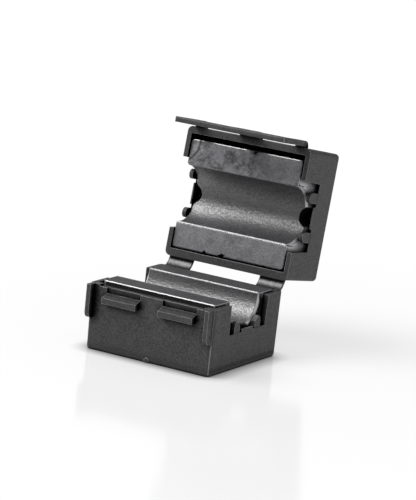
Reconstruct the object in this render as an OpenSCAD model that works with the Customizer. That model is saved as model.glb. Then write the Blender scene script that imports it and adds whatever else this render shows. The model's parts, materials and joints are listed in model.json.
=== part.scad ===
// Clip-on cable ferrite, shown open.
// Two half cores sit in two halves of a plastic case. The halves are joined at the
// back by two bendable straps and close at the front with a slotted latch flap that
// hooks under two wedge catches. X runs along the cable, the latch side faces -Y,
// and the origin is the middle of the underside.

/* [Case] */
// Length of the case along the cable
case_l = 32; // [30:0.5:36]
// Width of the case at the rims, latch side to hinge side
case_w = 30; // [29:0.5:34]
// Height of the lower half up to its rim
base_h = 15; // [14.5:0.1:17]
// Height of the upper half from its rim to its roof
lid_h = 15.5; // [15:0.1:17]
// Outward slope of the walls towards the rims, in degrees
draft = 0.85; // [0:0.05:1.5]
// Radius of the edges and corners at the floor
floor_r = 0.7; // [0.3:0.1:0.8]
// Radius of the edges and corners at the roof
roof_r = 1; // [0.5:0.1:1.2]

/* [Walls] */
// Thickness of the two end walls that the cable passes
end_wall = 1.1; // [0.9:0.1:1.3]
// Thickness of the latch side wall at its rim
front_wall = 1.6; // [1.4:0.1:1.8]
// Thickness of the hinge side wall at its rim
rear_wall = 1.75; // [1.6:0.05:2]
// Thickness of the floor and of the roof
floor_t = 1.8; // [1.5:0.1:2]
// How much lower the latch side rim is between its corners
rim_step = 0.4; // [0:0.1:0.6]

/* [Cable way] */
// Bore of the closed core
bore_d = 13; // [12:0.1:13.4]
// Distance of the cable axis behind the middle of the case
bore_y = 0.4; // [0.2:0.1:0.6]
// Half width of the notch in each end wall, at the rim
notch_half = 8.2; // [8:0.1:8.6]
// Inward slope of the notch sides, in degrees
notch_taper = 2.8; // [0:0.1:4]
// Depth of the notches in the lower half
base_notch = 6.8; // [6.6:0.1:7.2]
// Depth of the notches in the upper half
lid_notch = 7.8; // [7.6:0.1:8.2]
// Spacing of the two grip posts in a notch
post_pitch = 9; // [8:0.1:9.4]
// Width of a grip post, which is round at its top
post_w = 2.3; // [1.8:0.1:2.6]
// Depth of the post tops below the rim
post_depth = 4.1; // [4:0.1:4.6]

/* [Half cores] */
// Length of a half core
core_l = 29.1; // [27:0.1:29.6]
// Width of a half core
core_w = 25; // [24:0.1:25.2]
// Height of a half core
core_h = 12.6; // [11.6:0.1:12.8]
// How far the lower core stands above its rim
core_proud = 0.45; // [0.3:0.05:0.5]
// Radius of the upright corners of a half core
core_corner = 0.8; // [0.4:0.1:1.2]
// Chamfer along the bore and along the long edges
core_chamfer = 0.3; // [0.2:0.05:0.6]
// Chamfer round the ends of the bore
mouth_chamfer = 0.5; // [0.3:0.1:0.9]

/* [Latch] */
// Length of a wedge catch along the case
catch_l = 8.7; // [7:0.1:9.2]
// Distance of each catch's middle from the middle of the case
catch_x = 7.2; // [7:0.05:7.3]
// How far a catch stands out of the wall
catch_out = 1.95; // [1.6:0.05:2.1]
// Length of the latch flap
flap_l = 28.6; // [28:0.1:28.8]
// Thickness of the latch flap
flap_t = 1.25; // [0.9:0.05:1.4]
// Gap between the flap and the latch side wall
flap_gap = 0.35; // [0.3:0.05:0.5]
// Reach of the flap below the lid's rim
flap_reach = 10.2; // [8.5:0.1:10.5]

/* [Hinge] */
// Opening angle of the lid, 0 is shut
lid_open = 100; // [0:1:180]
// Distance of the turning axis behind the hinge side wall
hinge_out = 1.4; // [1.2:0.1:2]
// Height of the turning axis above the lower rim
hinge_up = 0.6; // [0.3:0.1:0.8]
// Width of a hinge strap
strap_w = 6.3; // [5:0.1:7]
// Thickness of a hinge strap
strap_t = 0.55; // [0.4:0.05:0.7]
// Distance of each strap's middle from the middle of the case
strap_x = 11.9; // [10:0.1:12.2]

/* [Hidden] */
$fn = 96;
case_colour = "#2c2c2e";
core_colour = "#626168";
tiny = 0.01;
through = 40;              // longer than anything it cuts
arc_steps = 8;             // flats in a quarter of a rounded edge
rim_gap = 0.1;             // between the two rims when shut
core_gap = 0.05;           // between the two core faces when shut
hinge_y = case_w / 2 + hinge_out;
hinge_z = base_h + hinge_up;
bore_r = bore_d / 2;
core_top_depth = core_proud + core_gap - rim_gap;      // core face below the lid's rim
core_front = bore_y - core_w / 2;
core_rear = bore_y + core_w / 2;
post_clear = 0.06;         // between the cable's room and the post tops
pocket_r = 2.25;           // half-round pocket in a core end, open to the bore
pocket_out = 0.5;          // its middle beyond the core's end
pocket_floor = 10.4;       // its floor below the core face
tongue_w = 2.6;            // shell tongue that reaches in over the pocket's floor
tongue_in = 1.3;
tongue_h = 1.6;            // its height at the wall
tongue_slope = 0.7;        // how much its upper side falls towards its tip
tongue_play = 0.2;
post_t = 0.95;             // thickness of a grip post
lip_w = 5;                 // raised middle of a notch floor, between the posts
lip_clear = 0.12;          // from the lip up to the cable's room
skin_t = 0.4;              // end wall where it is thinned inside, below the notch
skin_down = 1.4;           // how far down that goes
rail_w = 2.5;              // rails that carry the core above the floor
rail_y = 8;
spacer_w = 0.8;            // upright ribs that keep the core off the latch side wall
spacer_x = 13.4;
spacer_down = 5;           // top of the spacers below the rim
step_x = 13.4;             // half length of the lowered rim
rib_w = 1;                 // guide ribs at both ends of the latch side
rib_x = 15.1;
rib_out = 1.95;
rib_len = 7.7;
rib_r = 1.5;
recess_d = 0.5;            // recess above each catch
catch_top = 1.6;           // heights of the catch, below the rim
catch_edge = 2.4;
catch_foot = 3.7;
slot_play = 0.2;           // room round a catch in its slot
hook_play = 0.3;           // room under a catch
flap_pivot_down = 0.6;     // bending line of the flap below the lid's rim
root_h = 1.5;              // blocks that join the flap's legs to the lid
root_clear = 0.03;
flap_corner_r = 0.8;
gate_r = 0.6;              // sprue mark at the front of the underside
gate_out = 0.2;
gate_up = 0.5;
strap_low = 0.4;           // where a strap leaves the lower wall, from the rim
strap_high = 1.1;          // where it leaves the lid's wall
strap_bow = 0.85;          // how strongly it bows outwards
strap_lead = 0.06;         // straight start that keeps its end square to the wall
strap_steps = 16;
joint_clear = 0.02;        // between a strap and the lid it is moulded to

// Points on a circular arc, from angle a0 to angle a1 in degrees
function arc(cx, cy, r, a0, a1, n = arc_steps) =
    [for (i = [0:n]) let (a = a0 + (a1 - a0) * i / n) [cx + r * cos(a), cy + r * sin(a)]];

// Outline of a drafted cup: rim at y = 0, rounded floor edges at y = -h
function cup_outline(width, h, r) =
    let (half = width / 2, foot = half - h * tan(draft))
    concat([[half, 0]], arc(foot - r, r - h, r, 0, -90), arc(r - foot, r - h, r, -90, -180), [[-half, 0]]);

// Outer y of the latch side wall (side = -1) or hinge side wall (side = 1), z below the rim
function wall_y(side, z) = side * (case_w / 2 + z * tan(draft));

// Profile in Y (first) and Z (second), run along X from x0 to x1
module along_x(x0, x1)
    translate([x0, 0, 0]) rotate([90, 0, 90]) linear_extrude(x1 - x0) children();

// Profile in X (first) and Z (second), run along Y from y0 to y1
module along_y(y0, y1)
    translate([0, y1, 0]) rotate([90, 0, 0]) linear_extrude(y1 - y0) children();

module both_ends()
    for (side = [0, 1]) mirror([side, 0, 0]) children();

// Rectangle with four rounded corners
function round_rect(l, w, r) =
    let (x = l / 2 - r, y = w / 2 - r)
    concat(arc(x, y, r, 0, 90), arc(-x, y, r, 90, 180), arc(-x, -y, r, 180, 270), arc(x, -y, r, 270, 360));

// Solid outside form of one case half, rim at z = 0 and floor at z = -h. The same sloping side,
// rounded by r at the floor, runs along both pairs of walls and round the four corners
module half_block(h, r) {
    rim_r = r + h * tan(draft);
    x = case_l / 2 - rim_r;
    y = case_w / 2 - rim_r;
    along_x(-x, x) polygon(cup_outline(case_w, h, r));
    along_y(-y, y) polygon(cup_outline(case_l, h, r));
    for (flip_x = [0, 1], flip_y = [0, 1]) mirror([flip_x, 0, 0]) mirror([0, flip_y, 0]) translate([x, y, 0])
        rotate_extrude(angle = 90) polygon(concat([[0, 0], [rim_r, 0]], arc(0, r - h, r, 0, -90)));
}

// Tapered slot, open at the rim, that the cable passes
module notch_shape(depth)
    polygon([[bore_y - notch_half - tan(notch_taper), 1], [bore_y + notch_half + tan(notch_taper), 1],
             [bore_y + notch_half - depth * tan(notch_taper), -depth],
             [bore_y - notch_half + depth * tan(notch_taper), -depth]]);

// Notch for the cable in one end wall, with a low lip in the middle of its floor, just clear of
// the cable's room. Inside, the wall is thinned below the notch. face is the core face below the rim
module notch_cut(depth, face) {
    inner = case_l / 2 - end_wall - tiny;
    skin = case_l / 2 - skin_t;
    along_x(inner, case_l / 2 + 1) difference() {
        notch_shape(depth);
        translate([bore_y - lip_w / 2, -depth - 1])
            square([lip_w, 1 + depth - face - bore_r - lip_clear]);
    }
    along_x(inner, skin) notch_shape(depth + skin_down);
}

// Grip post with a round top, rooted this far below the rim
module grip_post(depth)
    along_x(case_l / 2 - end_wall, case_l / 2 - end_wall + post_t)
        polygon(concat([[post_w / 2, -depth - tiny]],
                       arc(0, -post_depth - post_w / 2, post_w / 2, 0, 180, 2 * arc_steps),
                       [[-post_w / 2, -depth - tiny]]));

// Tongue that snaps in over the floor of the pocket in the core's end
module core_tongue(core_face)
    translate([0, bore_y, tongue_play - core_face - pocket_floor]) along_y(-tongue_w / 2, tongue_w / 2)
        polygon([[case_l / 2 - end_wall + tiny, tongue_h],
                 [case_l / 2 - end_wall - tongue_in, tongue_h - tongue_slope],
                 [case_l / 2 - end_wall - tongue_in, tongue_slope / 2],
                 [case_l / 2 - end_wall + tiny, 0]]);

// What both case halves share: hollow block, notches, posts, tongues, rails and spacers
module half_shell(h, r, notch, core_face) {
    core_foot = core_face + core_h;
    cavity_l = case_l - 2 * end_wall;
    cavity_y = -case_w / 2 + front_wall;
    cavity_w = case_w - front_wall - rear_wall;
    difference() {
        half_block(h, r);
        translate([-cavity_l / 2, cavity_y, -h + floor_t]) cube([cavity_l, cavity_w, h]);
        both_ends() notch_cut(notch, core_face);
    }
    both_ends() {
        for (side = [-1, 1]) translate([0, bore_y + side * post_pitch / 2, 0]) grip_post(notch + skin_down);
        core_tongue(core_face);
        translate([spacer_x - spacer_w / 2, cavity_y - tiny, -h + floor_t - tiny])
            cube([spacer_w, core_front - cavity_y + tiny, h - floor_t - spacer_down]);
    }
    for (side = [-1, 1])
        translate([-cavity_l / 2 - tiny, bore_y + side * rail_y - rail_w / 2, -h + floor_t - tiny])
            cube([cavity_l + 2 * tiny, rail_w, h - floor_t - core_foot + tiny]);
}

// Upright rib that guards one end of the flap
module guide_rib()
    along_x(rib_x - rib_w / 2, rib_x + rib_w / 2)
        polygon(concat([[-case_w / 2 + 1, 0], [-case_w / 2 - rib_out, 0]],
                       arc(-case_w / 2 - rib_out + rib_r, -rib_len + rib_r, rib_r, 180, 270),
                       [[-case_w / 2 + 1, -rib_len]]));

// Wedge that the flap rides over and hooks under
module wedge_catch()
    along_x(-catch_l / 2, catch_l / 2)
        polygon([[-case_w / 2 + 1, -catch_top], [-case_w / 2 + recess_d, -catch_top],
                 [-case_w / 2 - catch_out, -catch_edge], [-case_w / 2 - catch_out, -catch_foot],
                 [-case_w / 2 + 1, -catch_foot]]);

module base_shell()
    color(case_colour) translate([0, 0, base_h]) {
        difference() {
            half_shell(base_h, floor_r, base_notch, -core_proud);
            // the cable's room above the post heads
            translate([-through / 2, bore_y, core_proud]) rotate([0, 90, 0])
                cylinder(r = bore_r + post_clear, h = through);
            // rim lowered between the corners, and a recess above each catch
            translate([-step_x, -case_w / 2 - 1, -rim_step]) cube([2 * step_x, front_wall + 1 + tiny, 1]);
            for (side = [-1, 1])
                translate([side * catch_x - catch_l / 2, -case_w / 2 - 1, -catch_top])
                    cube([catch_l, 1 + recess_d, catch_top + 1]);
        }
        both_ends() guide_rib();
        for (side = [-1, 1]) translate([side * catch_x, 0, 0]) wedge_catch();
        translate([0, wall_y(-1, -base_h + gate_up) - gate_out, -base_h + gate_up]) rotate([-90, 0, 0])
            cylinder(r = gate_r, h = gate_out + 0.5);
    }

// Puts what is drawn above a rim at z = 0 onto the lower half, at the opening angle
module on_open_lid()
    translate([0, hinge_y, hinge_z]) rotate([-lid_open, 0, 0])
        translate([0, -hinge_y, base_h + rim_gap - hinge_z]) children();

// The spans of the flap's three legs along X
function leg_spans() =
    let (slot_in = catch_x - catch_l / 2 - slot_play, slot_out = catch_x + catch_l / 2 + slot_play)
    [[-flap_l / 2, -slot_out], [-slot_in, slot_in], [slot_out, flap_l / 2]];

// Block with a rounded back that joins one leg to the lid
module leg_root(span)
    along_x(span[0], span[1])
        polygon(concat([[flap_out_y(), flap_root_z()]],
                       arc(flap_out_y() + root_h, flap_root_z(), root_h, 180, 90),
                       [[-case_w / 2 + 1, flap_root_z() + root_h], [-case_w / 2 + 1, flap_root_z()]]));

function flap_in_y() = -case_w / 2 - flap_gap;
function flap_out_y() = flap_in_y() - flap_t;
function flap_root_z() = flap_t / 2 + root_clear - flap_pivot_down;

module lid_shell()
    color(case_colour) on_open_lid() {
        mirror([0, 0, 1]) half_shell(lid_h, roof_r, lid_notch, core_top_depth);
        for (span = leg_spans()) leg_root(span);
    }

// Flap with two slots that are open at the top: three legs and a bar
module latch_flap()
    color(case_colour) on_open_lid() {
        bar_top = -rim_gap - catch_foot - hook_play;
        intersection() {
            translate([0, flap_in_y(), 0]) rotate([90, 0, 0]) linear_extrude(flap_t)
                polygon(concat([[flap_l / 2, bar_top], [-flap_l / 2, bar_top]],
                               arc(-flap_l / 2 + flap_corner_r, flap_corner_r - flap_reach, flap_corner_r, 180, 270),
                               arc(flap_l / 2 - flap_corner_r, flap_corner_r - flap_reach, flap_corner_r, 270, 360)));
            along_x(-flap_l, flap_l)
                polygon(concat([[flap_in_y(), 0], [flap_out_y(), 0]],
                               arc(flap_out_y() + flap_t / 3, flap_t / 3 - flap_reach, flap_t / 3, 180, 270),
                               arc(flap_in_y() - flap_t / 3, flap_t / 3 - flap_reach, flap_t / 3, 270, 360)));
        }
        for (span = leg_spans()) {
            translate([span[0], flap_out_y(), bar_top - tiny])
                cube([span[1] - span[0], flap_t, tiny - flap_pivot_down - bar_top]);
            translate([span[0], (flap_in_y() + flap_out_y()) / 2, -flap_pivot_down]) rotate([0, 90, 0])
                cylinder(d = flap_t, h = span[1] - span[0]);
        }
    }

// Turns a point of the shut lid's side view to the opening angle
function opened(p) =
    let (y = p[0] - hinge_y, z = p[1] - hinge_z)
    [hinge_y + y * cos(lid_open) + z * sin(lid_open), hinge_z - y * sin(lid_open) + z * cos(lid_open)];

function bezier(p0, p1, p2, p3, t) =
    pow(1 - t, 3) * p0 + 3 * pow(1 - t, 2) * t * p1 + 3 * (1 - t) * pow(t, 2) * p2 + pow(t, 3) * p3;

// The strap's middle line in side view: square out of the lower wall, round, and square into the lid's wall
function strap_line() =
    let (low = [wall_y(1, -strap_low), base_h - strap_low],
         shut_top = base_h + rim_gap + strap_high,
         high = opened([wall_y(1, -strap_high) + joint_clear, shut_top]),
         high_out = opened([wall_y(1, -strap_high) + strap_bow, shut_top]))
    concat([low], [for (i = [0:strap_steps])
        bezier(low + [strap_lead, 0], low + [strap_bow, 0], high_out, high, i / strap_steps)]);

// The line with a thickness: each point is moved square to the line by half of it
function thick_line(line, t) =
    let (n = len(line) - 1,
         side = [for (i = [0:n]) let (d = line[min(i + 1, n)] - line[max(i - 1, 0)]) [-d[1], d[0]] / norm(d)])
    concat([for (i = [0:n]) line[i] + side[i] * t / 2], [for (i = [n:-1:0]) line[i] - side[i] * t / 2]);

module hinge_strap(side)
    color(case_colour) along_x(side * strap_x - strap_w / 2, side * strap_x + strap_w / 2)
        polygon(thick_line(strap_line(), strap_t));

module hinge_strap_left() hinge_strap(-1);
module hinge_strap_right() hinge_strap(1);

// Half core with its bored face at z = 0, body below
module half_core() {
    chamfer = core_chamfer * 0.7;
    mouth_r = bore_r + mouth_chamfer;
    difference() {
        intersection() {
            along_x(-core_l / 2, core_l / 2)
                polygon([[core_front + chamfer, 0], [core_front, -chamfer], [core_front, -core_h + 1],
                         [core_front + 1, -core_h], [core_rear - 1, -core_h], [core_rear, -core_h + 1],
                         [core_rear, -chamfer], [core_rear - chamfer, 0]]);
            along_y(-case_w, case_w)
                polygon([[core_l / 2 - chamfer / 2, 0], [core_l / 2, -chamfer / 2], [core_l / 2, -core_h],
                         [-core_l / 2, -core_h], [-core_l / 2, -chamfer / 2], [-core_l / 2 + chamfer / 2, 0]]);
            translate([0, bore_y, -core_h]) linear_extrude(core_h)
                polygon(round_rect(core_l, core_w, core_corner));
        }
        translate([-through / 2, bore_y, 0]) rotate([0, 90, 0]) cylinder(r = bore_r, h = through);
        // chamfer along both edges of the bore
        along_x(-through / 2, through / 2)
            polygon([[bore_y - bore_r - core_chamfer, tiny], [bore_y - bore_r + core_chamfer, -2 * core_chamfer],
                     [bore_y + bore_r - core_chamfer, -2 * core_chamfer], [bore_y + bore_r + core_chamfer, tiny]]);
        both_ends() {
            translate([core_l / 2 - mouth_chamfer, bore_y, 0]) rotate([0, 90, 0])
                cylinder(r1 = bore_r, r2 = mouth_r + mouth_chamfer, h = 2 * mouth_chamfer);
            translate([core_l / 2 + pocket_out, bore_y, -pocket_floor]) cylinder(r = pocket_r, h = pocket_floor);
        }
    }
}

module core_lower()
    color(core_colour) translate([0, 0, base_h + core_proud]) half_core();

module core_upper()
    color(core_colour) on_open_lid() translate([0, 0, core_top_depth]) mirror([0, 0, 1]) half_core();

base_shell();
lid_shell();
latch_flap();
hinge_strap_left();
hinge_strap_right();
core_lower();
core_upper();
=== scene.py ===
import json
import math

import bmesh
import bpy
import numpy as np
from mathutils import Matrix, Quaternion, Vector


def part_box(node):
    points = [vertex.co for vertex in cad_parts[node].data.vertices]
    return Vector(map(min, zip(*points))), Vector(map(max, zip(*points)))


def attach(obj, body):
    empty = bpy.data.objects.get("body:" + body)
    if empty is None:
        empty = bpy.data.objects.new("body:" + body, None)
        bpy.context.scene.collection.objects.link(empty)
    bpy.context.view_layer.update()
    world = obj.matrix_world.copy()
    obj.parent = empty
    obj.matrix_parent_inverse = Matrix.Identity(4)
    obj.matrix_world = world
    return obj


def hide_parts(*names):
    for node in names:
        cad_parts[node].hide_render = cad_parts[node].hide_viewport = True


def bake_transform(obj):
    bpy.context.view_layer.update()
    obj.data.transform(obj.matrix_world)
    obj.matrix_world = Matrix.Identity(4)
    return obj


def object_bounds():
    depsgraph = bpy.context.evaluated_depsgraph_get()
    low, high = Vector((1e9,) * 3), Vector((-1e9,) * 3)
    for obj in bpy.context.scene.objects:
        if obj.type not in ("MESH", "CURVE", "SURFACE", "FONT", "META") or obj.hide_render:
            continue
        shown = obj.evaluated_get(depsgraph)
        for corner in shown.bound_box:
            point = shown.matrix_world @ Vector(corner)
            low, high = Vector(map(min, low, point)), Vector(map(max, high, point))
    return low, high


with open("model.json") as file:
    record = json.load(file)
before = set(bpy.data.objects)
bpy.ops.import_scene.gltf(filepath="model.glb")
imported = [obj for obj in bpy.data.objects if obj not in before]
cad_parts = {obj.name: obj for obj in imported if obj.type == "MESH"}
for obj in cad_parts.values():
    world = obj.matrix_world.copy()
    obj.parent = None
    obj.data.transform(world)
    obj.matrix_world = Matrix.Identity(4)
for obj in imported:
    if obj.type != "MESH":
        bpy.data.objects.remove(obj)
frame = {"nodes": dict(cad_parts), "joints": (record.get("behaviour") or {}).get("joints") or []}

nodes = frame["nodes"]
cad_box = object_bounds()
MM = 0.001

# Camera.
# A long lens looks at the open case from the front right, a little above the rim, and is
# rolled by a few degrees. Distances are metres, angles are degrees.
view_azimuth = 29.3
view_elevation = 12.03
view_roll = 5.84
view_distance = 0.664
look_at = Vector((-0.00139, 0.01010, 0.02167))
focal_length = 213.3  # millimetres, on a film 36 mm high
film_height = 36.0
nearest_seen, farthest_seen = 0.01, 20.0

azimuth, elevation = math.radians(view_azimuth), math.radians(view_elevation)
away = Vector((math.sin(azimuth) * math.cos(elevation), -math.cos(azimuth) * math.cos(elevation),
               math.sin(elevation)))
camera = bpy.data.objects.new("camera", bpy.data.cameras.new("camera"))
bpy.context.scene.collection.objects.link(camera)
camera.data.lens = focal_length
camera.data.sensor_width = film_height
camera.data.clip_start, camera.data.clip_end = nearest_seen, farthest_seen
camera.location = look_at + away * view_distance
camera.rotation_mode = "QUATERNION"
roll = Quaternion((0, 0, 1), math.radians(view_roll))
camera.rotation_quaternion = (-away).to_track_quat("-Z", "Y") @ roll
bpy.context.scene.camera = camera
bpy.context.scene.view_settings.view_transform = "Standard"

# Light tent.
# A tent of pale cloth lights the part from all sides. Surfaces mirror it darker, but for a white
# band at the horizon and a white window where the table mirrors it towards the lens.
pure_white = (1, 1, 1, 1)
tent_light = 0.62  # how strongly it lights the part
tent_seen = 0.28  # how bright it looks in a mirror
band_low, band_high = 0.02, math.sin(math.radians(10))  # heights over which the band fades
window_inner, window_outer = math.radians(9), math.radians(13.5)  # radii over which the window fades


def shader_node(tree, kind, **values):
    """Adds a node and sets its inputs by socket name (spaces as underscores) or its properties."""
    made = tree.nodes.new(kind)
    for name, value in values.items():
        socket = name.replace("_", " ")
        if socket in made.inputs:
            made.inputs[socket].default_value = value
        else:
            setattr(made, name, value)
    return made


def maths(tree, operation, *operands):
    """A Math node. Each operand is a number or another node's socket."""
    made = shader_node(tree, "ShaderNodeMath", operation=operation)
    for slot, operand in enumerate(operands):
        if isinstance(operand, (int, float)):
            made.inputs[slot].default_value = operand
        else:
            tree.links.new(operand, made.inputs[slot])
    return made.outputs[0]


def seen_directly(tree):
    """1 for camera, glossy and transmission rays, 0 for the rays that light the object."""
    path = shader_node(tree, "ShaderNodeLightPath")
    sharp = maths(tree, "MAXIMUM", path.outputs["Is Glossy Ray"], path.outputs["Is Transmission Ray"])
    return maths(tree, "MAXIMUM", path.outputs["Is Camera Ray"], sharp)


world = bpy.data.worlds.new("tent")
bpy.context.scene.world = world
world.use_nodes = True
tree = world.node_tree
tree.nodes.clear()
lighting = shader_node(tree, "ShaderNodeBackground", Color=pure_white, Strength=tent_light)
seen = shader_node(tree, "ShaderNodeBackground", Color=pure_white)
direction = shader_node(tree, "ShaderNodeTexCoord").outputs["Generated"]
height = shader_node(tree, "ShaderNodeSeparateXYZ")
tree.links.new(direction, height.inputs[0])
band = shader_node(tree, "ShaderNodeMapRange", From_Min=band_low, From_Max=band_high, To_Min=1.0,
                   To_Max=tent_seen)
tree.links.new(height.outputs["Z"], band.inputs["Value"])
mirrored = shader_node(tree, "ShaderNodeVectorMath", operation="DOT_PRODUCT")
mirrored.inputs[1].default_value = (-away.x, -away.y, away.z)
tree.links.new(direction, mirrored.inputs[0])
window = shader_node(tree, "ShaderNodeMapRange", From_Min=math.cos(window_outer),
                     From_Max=math.cos(window_inner))
tree.links.new(mirrored.outputs["Value"], window.inputs["Value"])
brightest = maths(tree, "MAXIMUM", band.outputs["Result"], window.outputs["Result"])
tree.links.new(brightest, seen.inputs["Strength"])
choice = shader_node(tree, "ShaderNodeMixShader")
tree.links.new(seen_directly(tree), choice.inputs["Fac"])
tree.links.new(lighting.outputs[0], choice.inputs[1])
tree.links.new(seen.outputs[0], choice.inputs[2])
tree.links.new(choice.outputs[0], tree.nodes.new("ShaderNodeOutputWorld").inputs["Surface"])

# Soft panel.
# One large diffused lamp over the left shoulder. It draws the white lines on the edges of the
# cores, of the rims and of the flap.
key_direction = (-0.48, -0.40, 0.78)
key_distance, key_side, key_watts = 1.20, 0.76, 16.0

key_lamp = bpy.data.lights.new("key_panel", "AREA")
key_lamp.size, key_lamp.energy = key_side, key_watts
key_panel = bpy.data.objects.new("key_panel", key_lamp)
bpy.context.scene.collection.objects.link(key_panel)
toward_key = Vector(key_direction).normalized()
key_panel.location = (cad_box[0] + cad_box[1]) / 2 + toward_key * key_distance
key_panel.rotation_euler = toward_key.to_track_quat("Z", "Y").to_euler()

# Black card.
# A low card covered in black felt stands on the table to the left of the camera, out of its
# sight. It darkens what the upright faces mirror.
card_direction = (-0.48, -0.87)
card_distance, card_width, card_height = 0.90, 0.90, 0.42
card_black = (0.02, 0.02, 0.02, 1)


def new_material(name):
    """An empty node material, its tree and its output node."""
    material = bpy.data.materials.new(name)
    material.use_nodes = True
    tree = material.node_tree
    tree.nodes.clear()
    return material, tree, tree.nodes.new("ShaderNodeOutputMaterial")


card_mesh = bpy.data.meshes.new("black_card")
card_middle = Vector((*card_direction, 0)).normalized() * card_distance
card_side = Vector((-card_middle.y, card_middle.x, 0)).normalized() * card_width / 2
card_up = Vector((0, 0, card_height))
card_foot = [card_middle - card_side, card_middle + card_side]
card_mesh.from_pydata(card_foot + [card_foot[1] + card_up, card_foot[0] + card_up], [], [(0, 1, 2, 3)])
card = bpy.data.objects.new("black_card", card_mesh)
bpy.context.scene.collection.objects.link(card)
material, tree, output = new_material("black_card")
felt = shader_node(tree, "ShaderNodeBsdfDiffuse", Color=card_black)
tree.links.new(felt.outputs[0], output.inputs["Surface"])
card_mesh.materials.append(material)

# Table.
# A board with white lacquer. The lens sees an even white with a part of the lacquer's own
# reflections and shadows, and a painted contact shadow, a dark line where the part stands on it.
table_size = 6.0
table_paint = (0.9, 0.9, 0.9, 1)
table_roughness, table_ior = 0.12, 2.0
table_keeps = 0.38  # share of its own shading that the lens sees
table_near, table_far = 0.06, 0.36  # two distances from the middle of the table,
table_white, table_far_white = 0.89, 1.06  # and how bright it is there
contact_shadow_reach, contact_shadow_gain = 4.5 * MM, 1.3  # the painted contact shadow's width and strength
mask_samples = 8

table_mesh = bpy.data.meshes.new("table")
half = table_size / 2
table_corners = [(-half, -half, 0), (half, -half, 0), (half, half, 0), (-half, half, 0)]
table_mesh.from_pydata(table_corners, [], [(0, 1, 2, 3)])
table = bpy.data.objects.new("table", table_mesh)
bpy.context.scene.collection.objects.link(table)
material, tree, output = new_material("white_table")
board = shader_node(tree, "ShaderNodeBsdfPrincipled", Base_Color=table_paint, Roughness=table_roughness,
                    IOR=table_ior)
white = shader_node(tree, "ShaderNodeEmission", Color=pure_white)
from_part = shader_node(tree, "ShaderNodeVectorMath", operation="LENGTH")
tree.links.new(shader_node(tree, "ShaderNodeTexCoord").outputs["Object"], from_part.inputs[0])
level = shader_node(tree, "ShaderNodeMapRange", From_Min=table_near, From_Max=table_far,
                    To_Min=table_white, To_Max=table_far_white)
tree.links.new(from_part.outputs["Value"], level.inputs["Value"])
tree.links.new(level.outputs["Result"], white.inputs["Strength"])
lit = shader_node(tree, "ShaderNodeMixShader")
tree.links.new(maths(tree, "MULTIPLY", seen_directly(tree), 1 - table_keeps), lit.inputs["Fac"])
tree.links.new(board.outputs[0], lit.inputs[1])
tree.links.new(white.outputs[0], lit.inputs[2])
# Painted contact shadow: where ambient occlusion finds the part close, black emission is mixed in.
open_air = shader_node(tree, "ShaderNodeAmbientOcclusion", samples=mask_samples, Distance=contact_shadow_reach)
closed = maths(tree, "SUBTRACT", 1.0, open_air.outputs["AO"])
contact_shadow = shader_node(tree, "ShaderNodeClamp")
tree.links.new(maths(tree, "MULTIPLY", closed, contact_shadow_gain), contact_shadow.inputs["Value"])
dark = shader_node(tree, "ShaderNodeEmission", Strength=0.0)
shaded = shader_node(tree, "ShaderNodeMixShader")
for slot, source in enumerate((contact_shadow, lit, dark)):
    tree.links.new(source.outputs[0], shaded.inputs[slot])
tree.links.new(shaded.outputs[0], output.inputs["Surface"])
table_mesh.materials.append(material)

# Case halves and latch flap.
# One moulding in black nylon. The mould was spark-eroded, which leaves a fine even grain. Its
# edges are a little rounded and painted pale as a highlight, and its recesses are painted black as shade.
nylon_colour = (0.012, 0.012, 0.013, 1)
nylon_dust = (0.048, 0.048, 0.050, 1)  # between the two the colour follows the grain
# Painted highlight: the pale colour that rounded edges and upright corners take.
nylon_edge_highlight = (0.42, 0.42, 0.425, 1)
# Painted shade: the near-black colour that crevices and gaps take, in the nylon and the ferrite.
crevice_shade_colour = (0.002, 0.002, 0.002, 1)
nylon_roughness, uneven = 0.54, 0.10  # the roughness strays this far with the grain
rubbed_roughness = 0.26
crevice_roughness = 0.95
grain_size, grain_height, grain_strength = 0.36 * MM, 0.065 * MM, 0.8
wide_scale, wide_share = 0.16, 0.15  # the wider grain's frequency to the fine one's, its share in the tone
tone_low, tone_high = 0.35, 0.65  # a grain's tone lies mostly between these
edge_round, edge_gain = 0.22 * MM, 4.0
edge_start = 0.05  # how far the rounded normal leans before the mask begins
corner_highlight = 0.4  # how much of the painted edge highlight shows along the upright corners
corner_start, corner_full = 0.42, 0.50
crevice_reach = 2.0 * MM
crevice_gain, crevice_side_gain = 2.0, 3.0  # the second is added where a face looks along the cable, for deeper painted shade there
fade_low, fade_high = 0.3, 1.2  # in reaches above the table: no painted crevice shade below, all of it above


def new_socket(tree, name, direction, kind="NodeSocketFloat"):
    """Adds one input or output to a node group."""
    return tree.interface.new_socket(name=name, in_out=direction, socket_type=kind)


def rounded_edges_group():
    """Normals as if every edge had a small radius, and a mask that is 1 on such an edge.

    The mask is gain * (1 - edge_start - rounded normal . face's own normal), from 0 to 1."""
    group = bpy.data.node_groups.new("rounded_edges", "ShaderNodeTree")
    new_socket(group, "Radius", "INPUT")
    new_socket(group, "Gain", "INPUT")
    new_socket(group, "Normal", "OUTPUT", "NodeSocketVector")
    new_socket(group, "Edge", "OUTPUT")
    given, result = group.nodes.new("NodeGroupInput"), group.nodes.new("NodeGroupOutput")
    bevel = shader_node(group, "ShaderNodeBevel", samples=mask_samples)
    face = shader_node(group, "ShaderNodeNewGeometry")
    likeness = shader_node(group, "ShaderNodeVectorMath", operation="DOT_PRODUCT")
    group.links.new(given.outputs["Radius"], bevel.inputs["Radius"])
    group.links.new(bevel.outputs[0], likeness.inputs[0])
    group.links.new(face.outputs["Normal"], likeness.inputs[1])
    lean = maths(group, "SUBTRACT", 1.0 - edge_start, likeness.outputs["Value"])
    mask = shader_node(group, "ShaderNodeClamp")
    group.links.new(maths(group, "MULTIPLY", lean, given.outputs["Gain"]), mask.inputs["Value"])
    group.links.new(bevel.outputs[0], result.inputs["Normal"])
    group.links.new(mask.outputs[0], result.inputs["Edge"])
    return group


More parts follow.
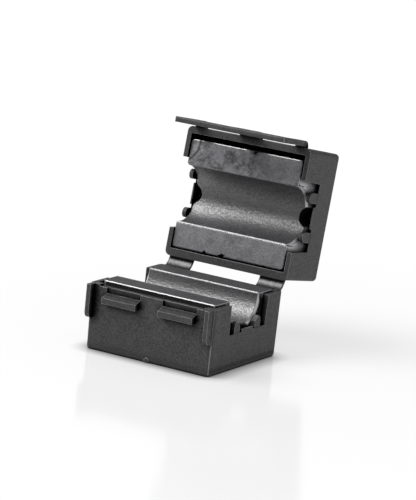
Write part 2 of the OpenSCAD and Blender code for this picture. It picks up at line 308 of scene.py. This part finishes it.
def crevices_group():
    """A mask for gaps and inner corners: gain * (share of directions closed in reach), up to 1."""
    group = bpy.data.node_groups.new("crevices", "ShaderNodeTree")
    new_socket(group, "Reach", "INPUT")
    new_socket(group, "Gain", "INPUT")
    new_socket(group, "Crevice", "OUTPUT")
    given, result = group.nodes.new("NodeGroupInput"), group.nodes.new("NodeGroupOutput")
    open_air = shader_node(group, "ShaderNodeAmbientOcclusion", samples=mask_samples)
    group.links.new(given.outputs["Reach"], open_air.inputs["Distance"])
    closed = maths(group, "SUBTRACT", 1.0, open_air.outputs["AO"])
    mask = shader_node(group, "ShaderNodeClamp")
    group.links.new(maths(group, "MULTIPLY", closed, given.outputs["Gain"]), mask.inputs["Value"])
    group.links.new(mask.outputs[0], result.inputs["Crevice"])
    return group


def grain_group():
    """A fine grain in two sizes: height for a bump, and tone from 0 to 1 for colour and gloss."""
    group = bpy.data.node_groups.new("grain", "ShaderNodeTree")
    new_socket(group, "Size", "INPUT")
    new_socket(group, "Height", "OUTPUT")
    new_socket(group, "Tone", "OUTPUT")
    given, result = group.nodes.new("NodeGroupInput"), group.nodes.new("NodeGroupOutput")
    place = shader_node(group, "ShaderNodeTexCoord")
    scale = maths(group, "DIVIDE", 1.0, given.outputs["Size"])
    fine = shader_node(group, "ShaderNodeTexNoise", Detail=2.0, Roughness=0.65)
    wide = shader_node(group, "ShaderNodeTexNoise", Detail=3.0, Roughness=0.6)
    group.links.new(scale, fine.inputs["Scale"])
    group.links.new(maths(group, "MULTIPLY", scale, wide_scale), wide.inputs["Scale"])
    for texture in (fine, wide):
        group.links.new(place.outputs["Object"], texture.inputs["Vector"])
    wide_tone = maths(group, "MULTIPLY", wide.outputs["Fac"], wide_share)
    tone = maths(group, "MULTIPLY_ADD", fine.outputs["Fac"], 1 - wide_share, wide_tone)
    group.links.new(fine.outputs["Fac"], result.inputs["Height"])
    group.links.new(tone, result.inputs["Tone"])
    return group


def placed(tree, group, **values):
    """Places a node group in a material with its own values."""
    made = shader_node(tree, "ShaderNodeGroup")
    made.node_tree = group
    for name, value in values.items():
        made.inputs[name].default_value = value
    return made


def spread(tree, value, low, high):
    """Maps a grain's tone to values from low to high."""
    made = shader_node(tree, "ShaderNodeMapRange", From_Min=tone_low, From_Max=tone_high,
                       To_Min=low, To_Max=high)
    tree.links.new(value, made.inputs["Value"])
    return made.outputs["Result"]


def mixed(tree, share, first, second):
    """Mixes two colours or two numbers, each given as a value or as a node's socket."""
    colours = isinstance(second, (tuple, bpy.types.NodeSocketColor))
    made = shader_node(tree, "ShaderNodeMix", data_type="RGBA" if colours else "FLOAT")
    for slot, value in zip((6, 7) if colours else (2, 3), (first, second)):
        if isinstance(value, (tuple, float)):
            made.inputs[slot].default_value = value
        else:
            tree.links.new(value, made.inputs[slot])
    tree.links.new(share, made.inputs[0])
    return made.outputs[2 if colours else 0]


rounded_edges, crevices, grain = rounded_edges_group(), crevices_group(), grain_group()


def nylon_material(name, roughness, reach):
    """Black nylon with a fine grain, edges painted pale as a highlight and made glossier, and painted shade
    in its crevices, except near the table.

    An upright corner is where |normal x * normal y| comes near to a half. The crevices' gain
    is crevice_gain + crevice_side_gain * |normal x|."""
    made, tree, output = new_material(name)
    skin = shader_node(tree, "ShaderNodeBsdfPrincipled")
    edges = placed(tree, rounded_edges, Radius=edge_round, Gain=edge_gain)
    texture = placed(tree, grain, Size=grain_size)
    hidden = placed(tree, crevices, Reach=reach)
    facing = shader_node(tree, "ShaderNodeSeparateXYZ")
    tree.links.new(shader_node(tree, "ShaderNodeTexCoord").outputs["Normal"], facing.inputs[0])
    sideways = maths(tree, "ABSOLUTE", facing.outputs["X"])
    gain = maths(tree, "MULTIPLY_ADD", sideways, crevice_side_gain, crevice_gain)
    tree.links.new(gain, hidden.inputs["Gain"])
    height = shader_node(tree, "ShaderNodeSeparateXYZ")
    tree.links.new(shader_node(tree, "ShaderNodeTexCoord").outputs["Object"], height.inputs[0])
    above = shader_node(tree, "ShaderNodeMapRange", From_Min=fade_low * reach, From_Max=fade_high * reach)
    tree.links.new(height.outputs["Z"], above.inputs["Value"])
    crevice = maths(tree, "MULTIPLY", hidden.outputs["Crevice"], above.outputs["Result"])
    corner = maths(tree, "ABSOLUTE", maths(tree, "MULTIPLY", facing.outputs["X"], facing.outputs["Y"]))
    ridge = shader_node(tree, "ShaderNodeMapRange", From_Min=corner_start, From_Max=corner_full,
                        To_Min=0.0, To_Max=corner_highlight)
    tree.links.new(corner, ridge.inputs["Value"])
    colour = mixed(tree, spread(tree, texture.outputs["Tone"], 0.0, 1.0), nylon_colour, nylon_dust)
    # Painted highlight: edges and upright corners are mixed towards the pale edge colour.
    highlight_mask = maths(tree, "MAXIMUM", edges.outputs["Edge"], ridge.outputs["Result"])
    colour = mixed(tree, highlight_mask, colour, nylon_edge_highlight)
    # Painted shade: crevices take a near-black colour, full roughness and full metallic, so they render
    # black.
    tree.links.new(mixed(tree, crevice, colour, crevice_shade_colour), skin.inputs["Base Color"])
    gloss = spread(tree, texture.outputs["Tone"], roughness + uneven, roughness - uneven)
    gloss = mixed(tree, edges.outputs["Edge"], gloss, rubbed_roughness)
    tree.links.new(mixed(tree, crevice, gloss, crevice_roughness), skin.inputs["Roughness"])
    tree.links.new(crevice, skin.inputs["Metallic"])
    bump = shader_node(tree, "ShaderNodeBump", Strength=grain_strength, Distance=grain_height)
    tree.links.new(texture.outputs["Height"], bump.inputs["Height"])
    tree.links.new(edges.outputs["Normal"], bump.inputs["Normal"])
    tree.links.new(bump.outputs["Normal"], skin.inputs["Normal"])
    tree.links.new(skin.outputs[0], output.inputs["Surface"])
    return made


nylon = nylon_material("black_nylon", nylon_roughness, crevice_reach)
for name in ("base_shell", "lid_shell", "latch_flap"):
    nodes[name].data.materials.clear()
    nodes[name].data.materials.append(nylon)

# Hinge straps.
# The same nylon, moulded thin so that it bends. Each strap leaves the lower wall a little
# below the rim, bows outwards and runs square into the lid's wall, thicker at both roots.
hinge = next(joint for joint in frame["joints"] if joint["name"] == "lid_hinge")
hinge_y, hinge_z = hinge["pos_m"][1:]
hinge_rise = 0.6 * MM  # of the hinge line over the lower rim
lid_open = math.radians(hinge["range_deg"][1])  # from open to shut
rim_height = hinge_z - hinge_rise
rim_gap = 0.1 * MM
rear_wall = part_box("base_shell")[1].y
draft = math.tan(math.radians(0.85))
strap_width, strap_thickness = 6.3 * MM, 0.55 * MM
strap_edge = 0.12 * MM  # radius of its long edges
strap_low, strap_high = 0.4 * MM, 1.1 * MM  # where it leaves each wall, from the rim
strap_bow = 0.85 * MM
root_sunk = 0.1 * MM  # how deep its ends are in the walls
root_extra = 0.30 * MM  # more thickness at a root
root_length = 0.12  # share of the strap's length over which that fades
strap_steps, strap_edge_steps = 49, 7
strap_roughness, strap_reach = 0.24, 1.0 * MM
merge_distance = 0.0005 * MM


def opened(y, z):
    """Turns the shut lid's side view about the hinge line to the angle shown."""
    y, z = y - hinge_y, z - hinge_z
    return (hinge_y + y * math.cos(lid_open) + z * math.sin(lid_open),
            hinge_z - y * math.sin(lid_open) + z * math.cos(lid_open))


def joined(name, grids, material, smooth_angle, layers=()):
    """One closed mesh from grids of points, each with a flag that wraps its columns round.

    A grid has the shape (rows, columns, 3 + one for each named layer). Faces join each point
    with the next along both directions, doubles are merged and all faces turned outwards."""
    points, faces, count = [], [], 0
    for grid, wrapped in grids:
        rows, columns = grid.shape[:2]
        last = columns if wrapped else columns - 1
        r, c = np.meshgrid(np.arange(rows - 1), np.arange(last), indexing="ij")
        right = (c + 1) % columns
        faces.append(count + np.stack([r * columns + c, r * columns + right, (r + 1) * columns + right,
                                       (r + 1) * columns + c], -1).reshape(-1, 4))
        points.append(grid.reshape(rows * columns, -1))
        count += rows * columns
    points = np.concatenate(points)
    mesh = bpy.data.meshes.new(name)
    mesh.from_pydata(points[:, :3].tolist(), [], np.concatenate(faces).tolist())
    for slot, layer in enumerate(layers, start=3):
        values = mesh.attributes.new(layer, "FLOAT", "POINT").data
        values.foreach_set("value", points[:, slot].astype(np.float32))
    work = bmesh.new()
    work.from_mesh(mesh)
    bmesh.ops.remove_doubles(work, verts=work.verts, dist=merge_distance)
    bmesh.ops.recalc_face_normals(work, faces=work.faces)
    work.to_mesh(mesh)
    work.free()
    mesh.polygons.foreach_set("use_smooth", np.ones(len(mesh.polygons), bool))
    mesh.set_sharp_from_angle(angle=math.radians(smooth_angle))
    mesh.materials.append(material)
    made = bpy.data.objects.new(name, mesh)
    bpy.context.scene.collection.objects.link(made)
    return made


def strap_points(middle_x):
    """A rounded bar carried along a cubic curve in side view, its ends drawn together.

    The curve starts square to the lower wall and ends square to the lid's wall. The section is
    a rectangle with round corners, in X and in the curve's own normal. Its thickness grows
    towards both ends as root_extra * exp(-(distance from the end / root_length)^2)."""
    lid_z = rim_height + rim_gap + strap_high
    low = np.array([rear_wall - draft * strap_low - root_sunk, rim_height - strap_low])
    high = np.array(opened(rear_wall - draft * strap_high - root_sunk, lid_z))
    out_low = low + [strap_bow + root_sunk, 0]
    out_high = np.array(opened(rear_wall + strap_bow, lid_z))
    t = np.linspace(0, 1, strap_steps)[:, None]
    line = (1 - t) ** 3 * low + 3 * (1 - t) ** 2 * t * out_low
    line = line + 3 * (1 - t) * t ** 2 * out_high + t ** 3 * high
    along = np.gradient(line, axis=0)
    along /= np.linalg.norm(along, axis=1, keepdims=True)
    normal = np.stack([-along[:, 1], along[:, 0]], 1)
    root = np.exp(-(t / root_length) ** 2) + np.exp(-((1 - t) / root_length) ** 2)
    thick = strap_thickness + root_extra * root
    turn = np.linspace(0, math.pi / 2, strap_edge_steps)
    corner = np.concatenate([turn, turn + math.pi / 2, turn + math.pi, turn + 1.5 * math.pi])
    side = np.repeat([1, -1, -1, 1], strap_edge_steps)
    face = np.repeat([1, 1, -1, -1], strap_edge_steps)
    x = side * (strap_width / 2 - strap_edge) + strap_edge * np.cos(corner)
    up = face * (thick / 2 - strap_edge) + strap_edge * np.sin(corner)
    points = np.empty((len(t), len(x), 3))
    points[..., 0] = middle_x + x
    points[..., 1] = line[:, :1] + normal[:, :1] * up
    points[..., 2] = line[:, 1:] + normal[:, 1:] * up
    caps = np.broadcast_to(points[[0, -1]].mean(axis=1, keepdims=True), (2, len(x), 3))
    return np.concatenate([caps[:1], points, caps[1:]])


smooth_nylon = nylon_material("smooth_nylon", strap_roughness, strap_reach)
for side in ("left", "right"):
    cad_strap = f"hinge_strap_{side}"
    low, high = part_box(cad_strap)
    grids = [(strap_points((low.x + high.x) / 2), True)]
    strap = joined(f"bent_strap_{side}", grids, smooth_nylon, smooth_angle=50)
    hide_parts(cad_strap)
    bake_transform(strap)

# Half cores.
# Two equal troughs of sintered ferrite, grey and hard like stoneware. The faces that meet and
# both ends are ground, the bore is left as fired, and a few chips have come off the edges.
core_low, core_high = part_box("core_lower")
core_length, core_height = core_high.x - core_low.x, core_high.z - core_low.z
core_front, core_rear = core_low.y, core_high.y
upper_recess = 0.4 * MM  # of the upper core's face inside the lid's rim
upper_face = rim_height + rim_gap + upper_recess
slip = {"core_lower": 0.0, "core_upper": -0.27 * MM}  # how far each has slid along the case
bore_radius, bore_y = 6.5 * MM, 0.4 * MM
outer_chamfer = {"core_lower": (0.20 * MM, 0.26 * MM), "core_upper": (0.22 * MM, 0.12 * MM)}  # width, depth
bore_chamfer = {"core_lower": (0.20 * MM, 0.25 * MM), "core_upper": (0.27 * MM, 0.145 * MM)}
mouth_chamfer, end_chamfer, foot_chamfer = 0.5 * MM, 0.15 * MM, 1.0 * MM
corner_radius = 0.8 * MM
pocket_radius, pocket_floor = 2.25 * MM, 10.4 * MM
pocket_out = 0.5 * MM  # its centre beyond the core's end
bore_steps, flat_steps, corner_steps = 97, 18, 11  # points across the core
bevel_steps, length_steps, pocket_steps = 7, 151, 9  # along it, and down an end
same_length = 1e-6  # lengths closer than this count as equal
core_layers = ("ground", "edge", "hollow", "marbled")  # masks kept at each point, after x, y, z
edge_slot, hollow_slot = 4, 5  # where two of them are in a row of values
mask_floor = 0.1  # a smaller mask counts as none

ground_share = {"core_lower": 0.45, "core_upper": 1.0}  # how freshly ground each one looks
long_edge_highlight = 0.23  # painted highlight on the long outer edges, as a pale colour
lip_highlight = {"core_lower": (0.6, 0.30), "core_upper": (0.0, 0.30)}  # and on the bore's edges, front and rear,
lip_reach = 1.3  # down to this many chamfer depths
end_face_light = {"core_lower": 0.0, "core_upper": 0.9}  # how much painted light its end faces take, as a pale colour
end_shade = {"core_lower": 1.0, "core_upper": 0.0}  # and how much painted shade they take
side_shade = 0.9  # how much painted shade its front and rear faces take at the top, in the gap along the case
flat_darkening = {"core_lower": 0.45, "core_upper": 0.0}  # how much darker its flats are made, away from the edges
chips = {
    # core: (along, across, radius, depth), millimetres from the middle of the core's face
    "core_lower": ((-8.6, -12.25, 0.18, 0.20), (11.8, 12.9, 0.50, 0.50)),
    "core_upper": ((-5.9, 12.95, 0.48, 0.80), (-1.5, 12.95, 0.70, 0.90), (2.4, -12.1, 0.60, 0.70),
                   (9.8, 12.9, 0.25, 0.40)),
}
chip_floor = 1.5 * MM  # no chip reaches lower than this
wide_waver, fine_waver = 0.22, 0.12  # how far a chip's outline strays, in 3 and in 7 waves
flake, flake_radius, flake_depth = (-17.6, -11.6), 5.45, 0.15  # a thin one, off a corner of the upper core
flake_pale, flake_edge_shade, crack_width = 0.10, 0.8, 0.09  # inside it, the painted shadow round its step, and how wide that is
# Patches and veins are strongest at the upper core's front left and fade to marbled_least.
marbled_least, marbled_end, marbled_fade = 0.25, 1.2 * MM, 6 * MM


def core_columns(core):
    """The core's section: y, top z, foot z, inward normal and end bevel of each column of points,
    how freshly it is ground and how much painted highlight its edge takes.

    From front to rear: outer chamfer, ground flat, bore chamfer, half circle, and the same
    again. z is 0 on the ground face and negative below. The columns crowd towards the sides,
    y = corner_radius * (1 - cos(angle)), so that the upright corners come out round."""
    wide, deep = outer_chamfer[core]
    lip_wide, lip_deep = bore_chamfer[core]
    start = lip_deep / bore_radius
    angle = np.linspace(start, math.pi - start, bore_steps)
    arc_y, arc_z = bore_y - bore_radius * np.cos(angle), -bore_radius * np.sin(angle)
    lip = bore_radius + lip_wide
    quarter = np.linspace(0, math.pi / 2, corner_steps)
    crowd = np.sort(np.append(corner_radius * (1 - np.cos(quarter)), wide))
    front_flat = np.linspace(core_front + corner_radius, bore_y - lip, flat_steps)[1:]
    rear_flat = np.linspace(bore_y + lip, core_rear - corner_radius, flat_steps)[:-1]
    front = np.concatenate([core_front + crowd, front_flat])
    rear = np.concatenate([rear_flat, core_rear - crowd[::-1]])
    y = np.concatenate([front, arc_y, rear])
    inside = np.minimum(y - core_front, core_rear - y)
    in_chamfer = np.clip(1 - inside / wide, 0, 1)
    top = np.concatenate([0 * front, arc_z, 0 * rear]) - deep * in_chamfer
    foot = -core_height + np.clip(foot_chamfer - inside, 0, None)
    in_bore = np.concatenate([0 * front, 0 * angle + 1, 0 * rear])
    normal = np.where(in_bore[:, None] > 0, np.stack([bore_y - y, -top], 1) / bore_radius, [0, 1])
    bevel = np.where(in_bore > 0, mouth_chamfer, end_chamfer)
    from_lip = np.abs(np.abs(y - bore_y) - lip)
    on_lip = (from_lip < lip_wide + same_length) & (top > -lip_reach * lip_deep)
    highlit_edge = np.where(y < bore_y, *lip_highlight[core]) * on_lip
    highlit_edge = np.maximum(highlit_edge, long_edge_highlight * (in_chamfer > mask_floor))
    return y, top, foot, normal, bevel, ground_share[core] * (1 - in_bore), highlit_edge


def core_grids(core):
    """Top, foot and both ends of a half core, with the masks named in core_layers.

    A column runs from end to end. It stops short by corner_radius - sqrt(corner_radius^2 -
    past^2) at the upright corners, and by sqrt(pocket_radius^2 - across^2) - pocket_out in the
    half-round pocket. Near the ends the surface sinks along its normal by however much a point
    is past the start of the end bevel. A chip is a dish, depth * sqrt(1 - (distance /
    radius)^2), its radius wavering with the direction. The flake is such a dish with an even
    radius, with a painted shadow line, exp(-((1 - (distance / radius)^2) / crack_width)^2), round it."""
    y, top, foot, normal, bevel, flat, highlit_edge = core_columns(core)
    past = np.clip(corner_radius - np.minimum(y - core_front, core_rear - y), 0, corner_radius)
    end = core_length / 2 - corner_radius + np.sqrt(corner_radius ** 2 - past ** 2)
    in_pocket = np.clip(pocket_radius ** 2 - (y - bore_y) ** 2, 0, None)
    half_length = end - np.clip(np.sqrt(in_pocket) - pocket_out, 0, None)
    steps = np.linspace(0, 2 * mouth_chamfer / core_length, bevel_steps)
    middle = np.linspace(-1 + steps[-1], 1 - steps[-1], length_steps)
    share = np.concatenate([-1 + steps[:-1], middle, (1 - steps[::-1])[1:]])
    x = share[:, None] * half_length
    sink = np.clip(np.abs(x) - end + bevel, 0, None)
    py = y - normal[:, 0] * sink
    pz = top - normal[:, 1] * sink
    for along, beside, radius, depth in chips[core]:
        dx, dy = x / MM - along, py / MM - beside
        angle = np.arctan2(dy, dx)
        waver = 1 + wide_waver * np.sin(3 * angle + along) + fine_waver * np.sin(7 * angle + beside)
        inside = 1 - (dx ** 2 + dy ** 2) / (radius * waver) ** 2
        pz = pz - depth * MM * np.sqrt(np.clip(inside, 0, None)) * (pz > -chip_floor)
    upper_front = (core == "core_upper") & (y < bore_y)
    inside = 1 - np.hypot(x / MM - flake[0], py / MM - flake[1]) ** 2 / flake_radius ** 2
    inside = np.where(upper_front, inside, -1)
    pz = pz - flake_depth * MM * np.sqrt(np.clip(inside, 0, None))
    in_bevel = (sink > 0) & (np.abs(share) < 1)[:, None]
    # Painted highlight: chamfers, lips and end bevels take the pale edge colour. The inside of the flake is
    # a little pale.
    edge = np.maximum(np.maximum(highlit_edge, flake_pale * (inside > 0)), in_bevel)
    # The lower core's flats are made darker through the hollow mask.
    darker_flats = flat_darkening[core] * (flat > 0) * (edge < mask_floor)
    # Painted shade: a dark line round the flake's step.
    hollow = np.maximum(flake_edge_shade * np.exp(-(inside / crack_width) ** 2), darker_flats)
    veined = np.clip(1 - (x - marbled_end) / marbled_fade, marbled_least, 1)
    marbled = np.where(upper_front, veined, marbled_least)
    ring = np.zeros((len(share), 2 * len(y), 3 + len(core_layers)))
    ring[:, : len(y)] = np.stack([x, py, pz, np.broadcast_to(flat, x.shape), edge, hollow, marbled], -1)
    ring[:, [0, len(y) - 1], edge_slot] = 0
    # Painted shade at the top of the front and rear faces, in the gap along the case.
    ring[:, [0, len(y) - 1], hollow_slot] = side_shade
    ring[:, len(y):, 0] = share[:, None] * end[::-1]
    ring[:, len(y):, 1], ring[:, len(y):, 2] = y[::-1], foot[::-1]
    grids = [(ring, True)]
    down = np.linspace(0, 1, pocket_steps)[:, None]
    for row, sign in ((0, -1), (-1, 1)):
        face = np.ones((pocket_steps + 2, len(y), 3 + len(core_layers)))
        face[:-2, :, 0], face[-2:, :, 0] = x[row], sign * end
        face[:-2, :, 1], face[-2:, :, 1] = py[row] + down * (y - py[row]), y
        face[:-2, :, 2] = pz[row] + down * (-pocket_floor - pz[row])
        face[-2, :, 2], face[-1, :, 2] = -pocket_floor, foot
        # Painted light: the end faces, outside the pockets, take the pale edge colour.
        face[..., edge_slot] = end_face_light[core] * (in_pocket == 0)
        # Painted shade: the pockets, and the lower core's end faces, go near-black.
        face[..., hollow_slot] = np.where(in_pocket > 0, 1, end_shade[core])
        face[0, :, hollow_slot] = 0
        grids.append((face, False))
    return grids


ferrite_fired, ferrite_pale = (0.006, 0.006, 0.007, 1), (0.080, 0.078, 0.084, 1)
ferrite_ground, ferrite_worn = (0.002, 0.002, 0.003, 1), (0.205, 0.198, 0.217, 1)
# The pale colour of the painted highlights on the edges and of the painted light on the upper core's end
# faces.
ferrite_highlight = (0.46, 0.45, 0.47, 1)
ferrite_ior = 2.0
fired_roughness = (0.48, 0.32)  # where the grain is low and high
ground_roughness, ferrite_rubbed_roughness = 0.66, 0.22
ferrite_round, ferrite_grain, ferrite_bump = 0.08 * MM, 0.42 * MM, 0.11 * MM
rubbed_gain, rubbed_flat = 5.0, 0.8  # how soon an edge is smooth, and how much of the grain is gone
patch_size, vein_size = 2.2 * MM, 5.0 * MM
vein_width, vein_dark = 0.022, 0.5
grain_contrast = 0.4  # of the grain on ground faces, next to patches of 1
hollow_dark = 0.9  # how black the painted shade in a hollow gets
ferrite_reach, ferrite_gain = 1.3 * MM, 1.6  # of its painted crevice shade


def veins_group():
    """Faint crooked lines, 1 on a line, where a wide noise crosses its middle value."""
    group = bpy.data.node_groups.new("veins", "ShaderNodeTree")
    new_socket(group, "Size", "INPUT")
    new_socket(group, "Vein", "OUTPUT")
    given, result = group.nodes.new("NodeGroupInput"), group.nodes.new("NodeGroupOutput")
    place = shader_node(group, "ShaderNodeTexCoord")
    noise = shader_node(group, "ShaderNodeTexNoise", Detail=2.0, Roughness=0.5)
    group.links.new(place.outputs["Object"], noise.inputs["Vector"])
    group.links.new(maths(group, "DIVIDE", 1.0, given.outputs["Size"]), noise.inputs["Scale"])
    off = maths(group, "ABSOLUTE", maths(group, "SUBTRACT", noise.outputs["Fac"], 0.5))
    line = shader_node(group, "ShaderNodeMapRange", From_Min=0.0, From_Max=vein_width,
                       To_Min=1.0, To_Max=0.0)
    group.links.new(off, line.inputs["Value"])
    group.links.new(line.outputs["Result"], result.inputs["Vein"])
    return group


def ferrite_material():
    """Grey ferrite: hard and glossy but grained, paler where it is ground, with a pale painted highlight on
    its edges, painted light on the upper core's end faces and painted shade in its hollows and crevices.

    A ground face is as pale as 0.5 + grain_contrast * (grain - 0.5) + marbled * (patch - 0.5 -
    vein_dark * vein), from ferrite_ground at 0 to ferrite_worn at 1."""
    ferrite, tree, output = new_material("sintered_ferrite")
    body = shader_node(tree, "ShaderNodeBsdfPrincipled", IOR=ferrite_ior)
    rounding = placed(tree, rounded_edges, Radius=ferrite_round)
    texture = placed(tree, grain, Size=ferrite_grain)
    patches = placed(tree, grain, Size=patch_size)
    lines = placed(tree, veins_group(), Size=vein_size)
    hidden = placed(tree, crevices, Reach=ferrite_reach, Gain=ferrite_gain)
    masks = [shader_node(tree, "ShaderNodeAttribute", attribute_name=layer) for layer in core_layers]
    ground, edge, hollow, marbled = (mask.outputs["Fac"] for mask in masks)
    # Painted shade: the hollow mask and the crevice mask together pick where the ferrite goes black.
    dark = maths(tree, "MULTIPLY", hollow, hollow_dark)
    crevice = maths(tree, "MAXIMUM", dark, hidden.outputs["Crevice"])
    highlit_edge = maths(tree, "MINIMUM", maths(tree, "MULTIPLY", edge, rubbed_gain), 1.0)
    fine = spread(tree, texture.outputs["Tone"], 0.0, 1.0)
    patch = spread(tree, patches.outputs["Tone"], 0.0, 1.0)
    darkened = maths(tree, "MULTIPLY_ADD", lines.outputs["Vein"], vein_dark, 0.5)
    veined = maths(tree, "SUBTRACT", patch, darkened)
    grained = maths(tree, "MULTIPLY_ADD", fine, grain_contrast, 0.5 - grain_contrast / 2)
    fired_colour = mixed(tree, fine, ferrite_fired, ferrite_pale)
    pale = maths(tree, "MULTIPLY_ADD", veined, marbled, grained)
    ground_colour = mixed(tree, pale, ferrite_ground, ferrite_worn)
    colour = mixed(tree, ground, fired_colour, ground_colour)
    # Painted highlight on the edges and painted light on the end faces: the edge mask mixes in the pale
    # colour.
    colour = mixed(tree, edge, colour, ferrite_highlight)
    tree.links.new(mixed(tree, crevice, colour, crevice_shade_colour), body.inputs["Base Color"])
    gloss = mixed(tree, ground, spread(tree, texture.outputs["Tone"], *fired_roughness), ground_roughness)
    gloss = mixed(tree, highlit_edge, gloss, ferrite_rubbed_roughness)
    tree.links.new(mixed(tree, crevice, gloss, crevice_roughness), body.inputs["Roughness"])
    tree.links.new(crevice, body.inputs["Metallic"])
    rough = maths(tree, "SUBTRACT", 1.0, maths(tree, "MULTIPLY", highlit_edge, rubbed_flat))
    bump = shader_node(tree, "ShaderNodeBump", Strength=1.0, Distance=ferrite_bump)
    tree.links.new(maths(tree, "MULTIPLY", texture.outputs["Height"], rough), bump.inputs["Height"])
    tree.links.new(rounding.outputs["Normal"], bump.inputs["Normal"])
    tree.links.new(bump.outputs["Normal"], body.inputs["Normal"])
    tree.links.new(body.outputs[0], output.inputs["Surface"])
    return ferrite


ferrite = ferrite_material()
for core, body in (("core_lower", "base"), ("core_upper", "lid")):
    grids = core_grids(core)
    for points, wrapped in grids:
        points[..., 0] += slip[core]
        if core == "core_lower":
            points[..., 2] += core_high.z
        else:
            points[..., 1], points[..., 2] = opened(points[..., 1], upper_face - points[..., 2])
    made = joined(f"{core}_ferrite", grids, ferrite, smooth_angle=20, layers=core_layers)
    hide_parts(core)
    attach(made, body)
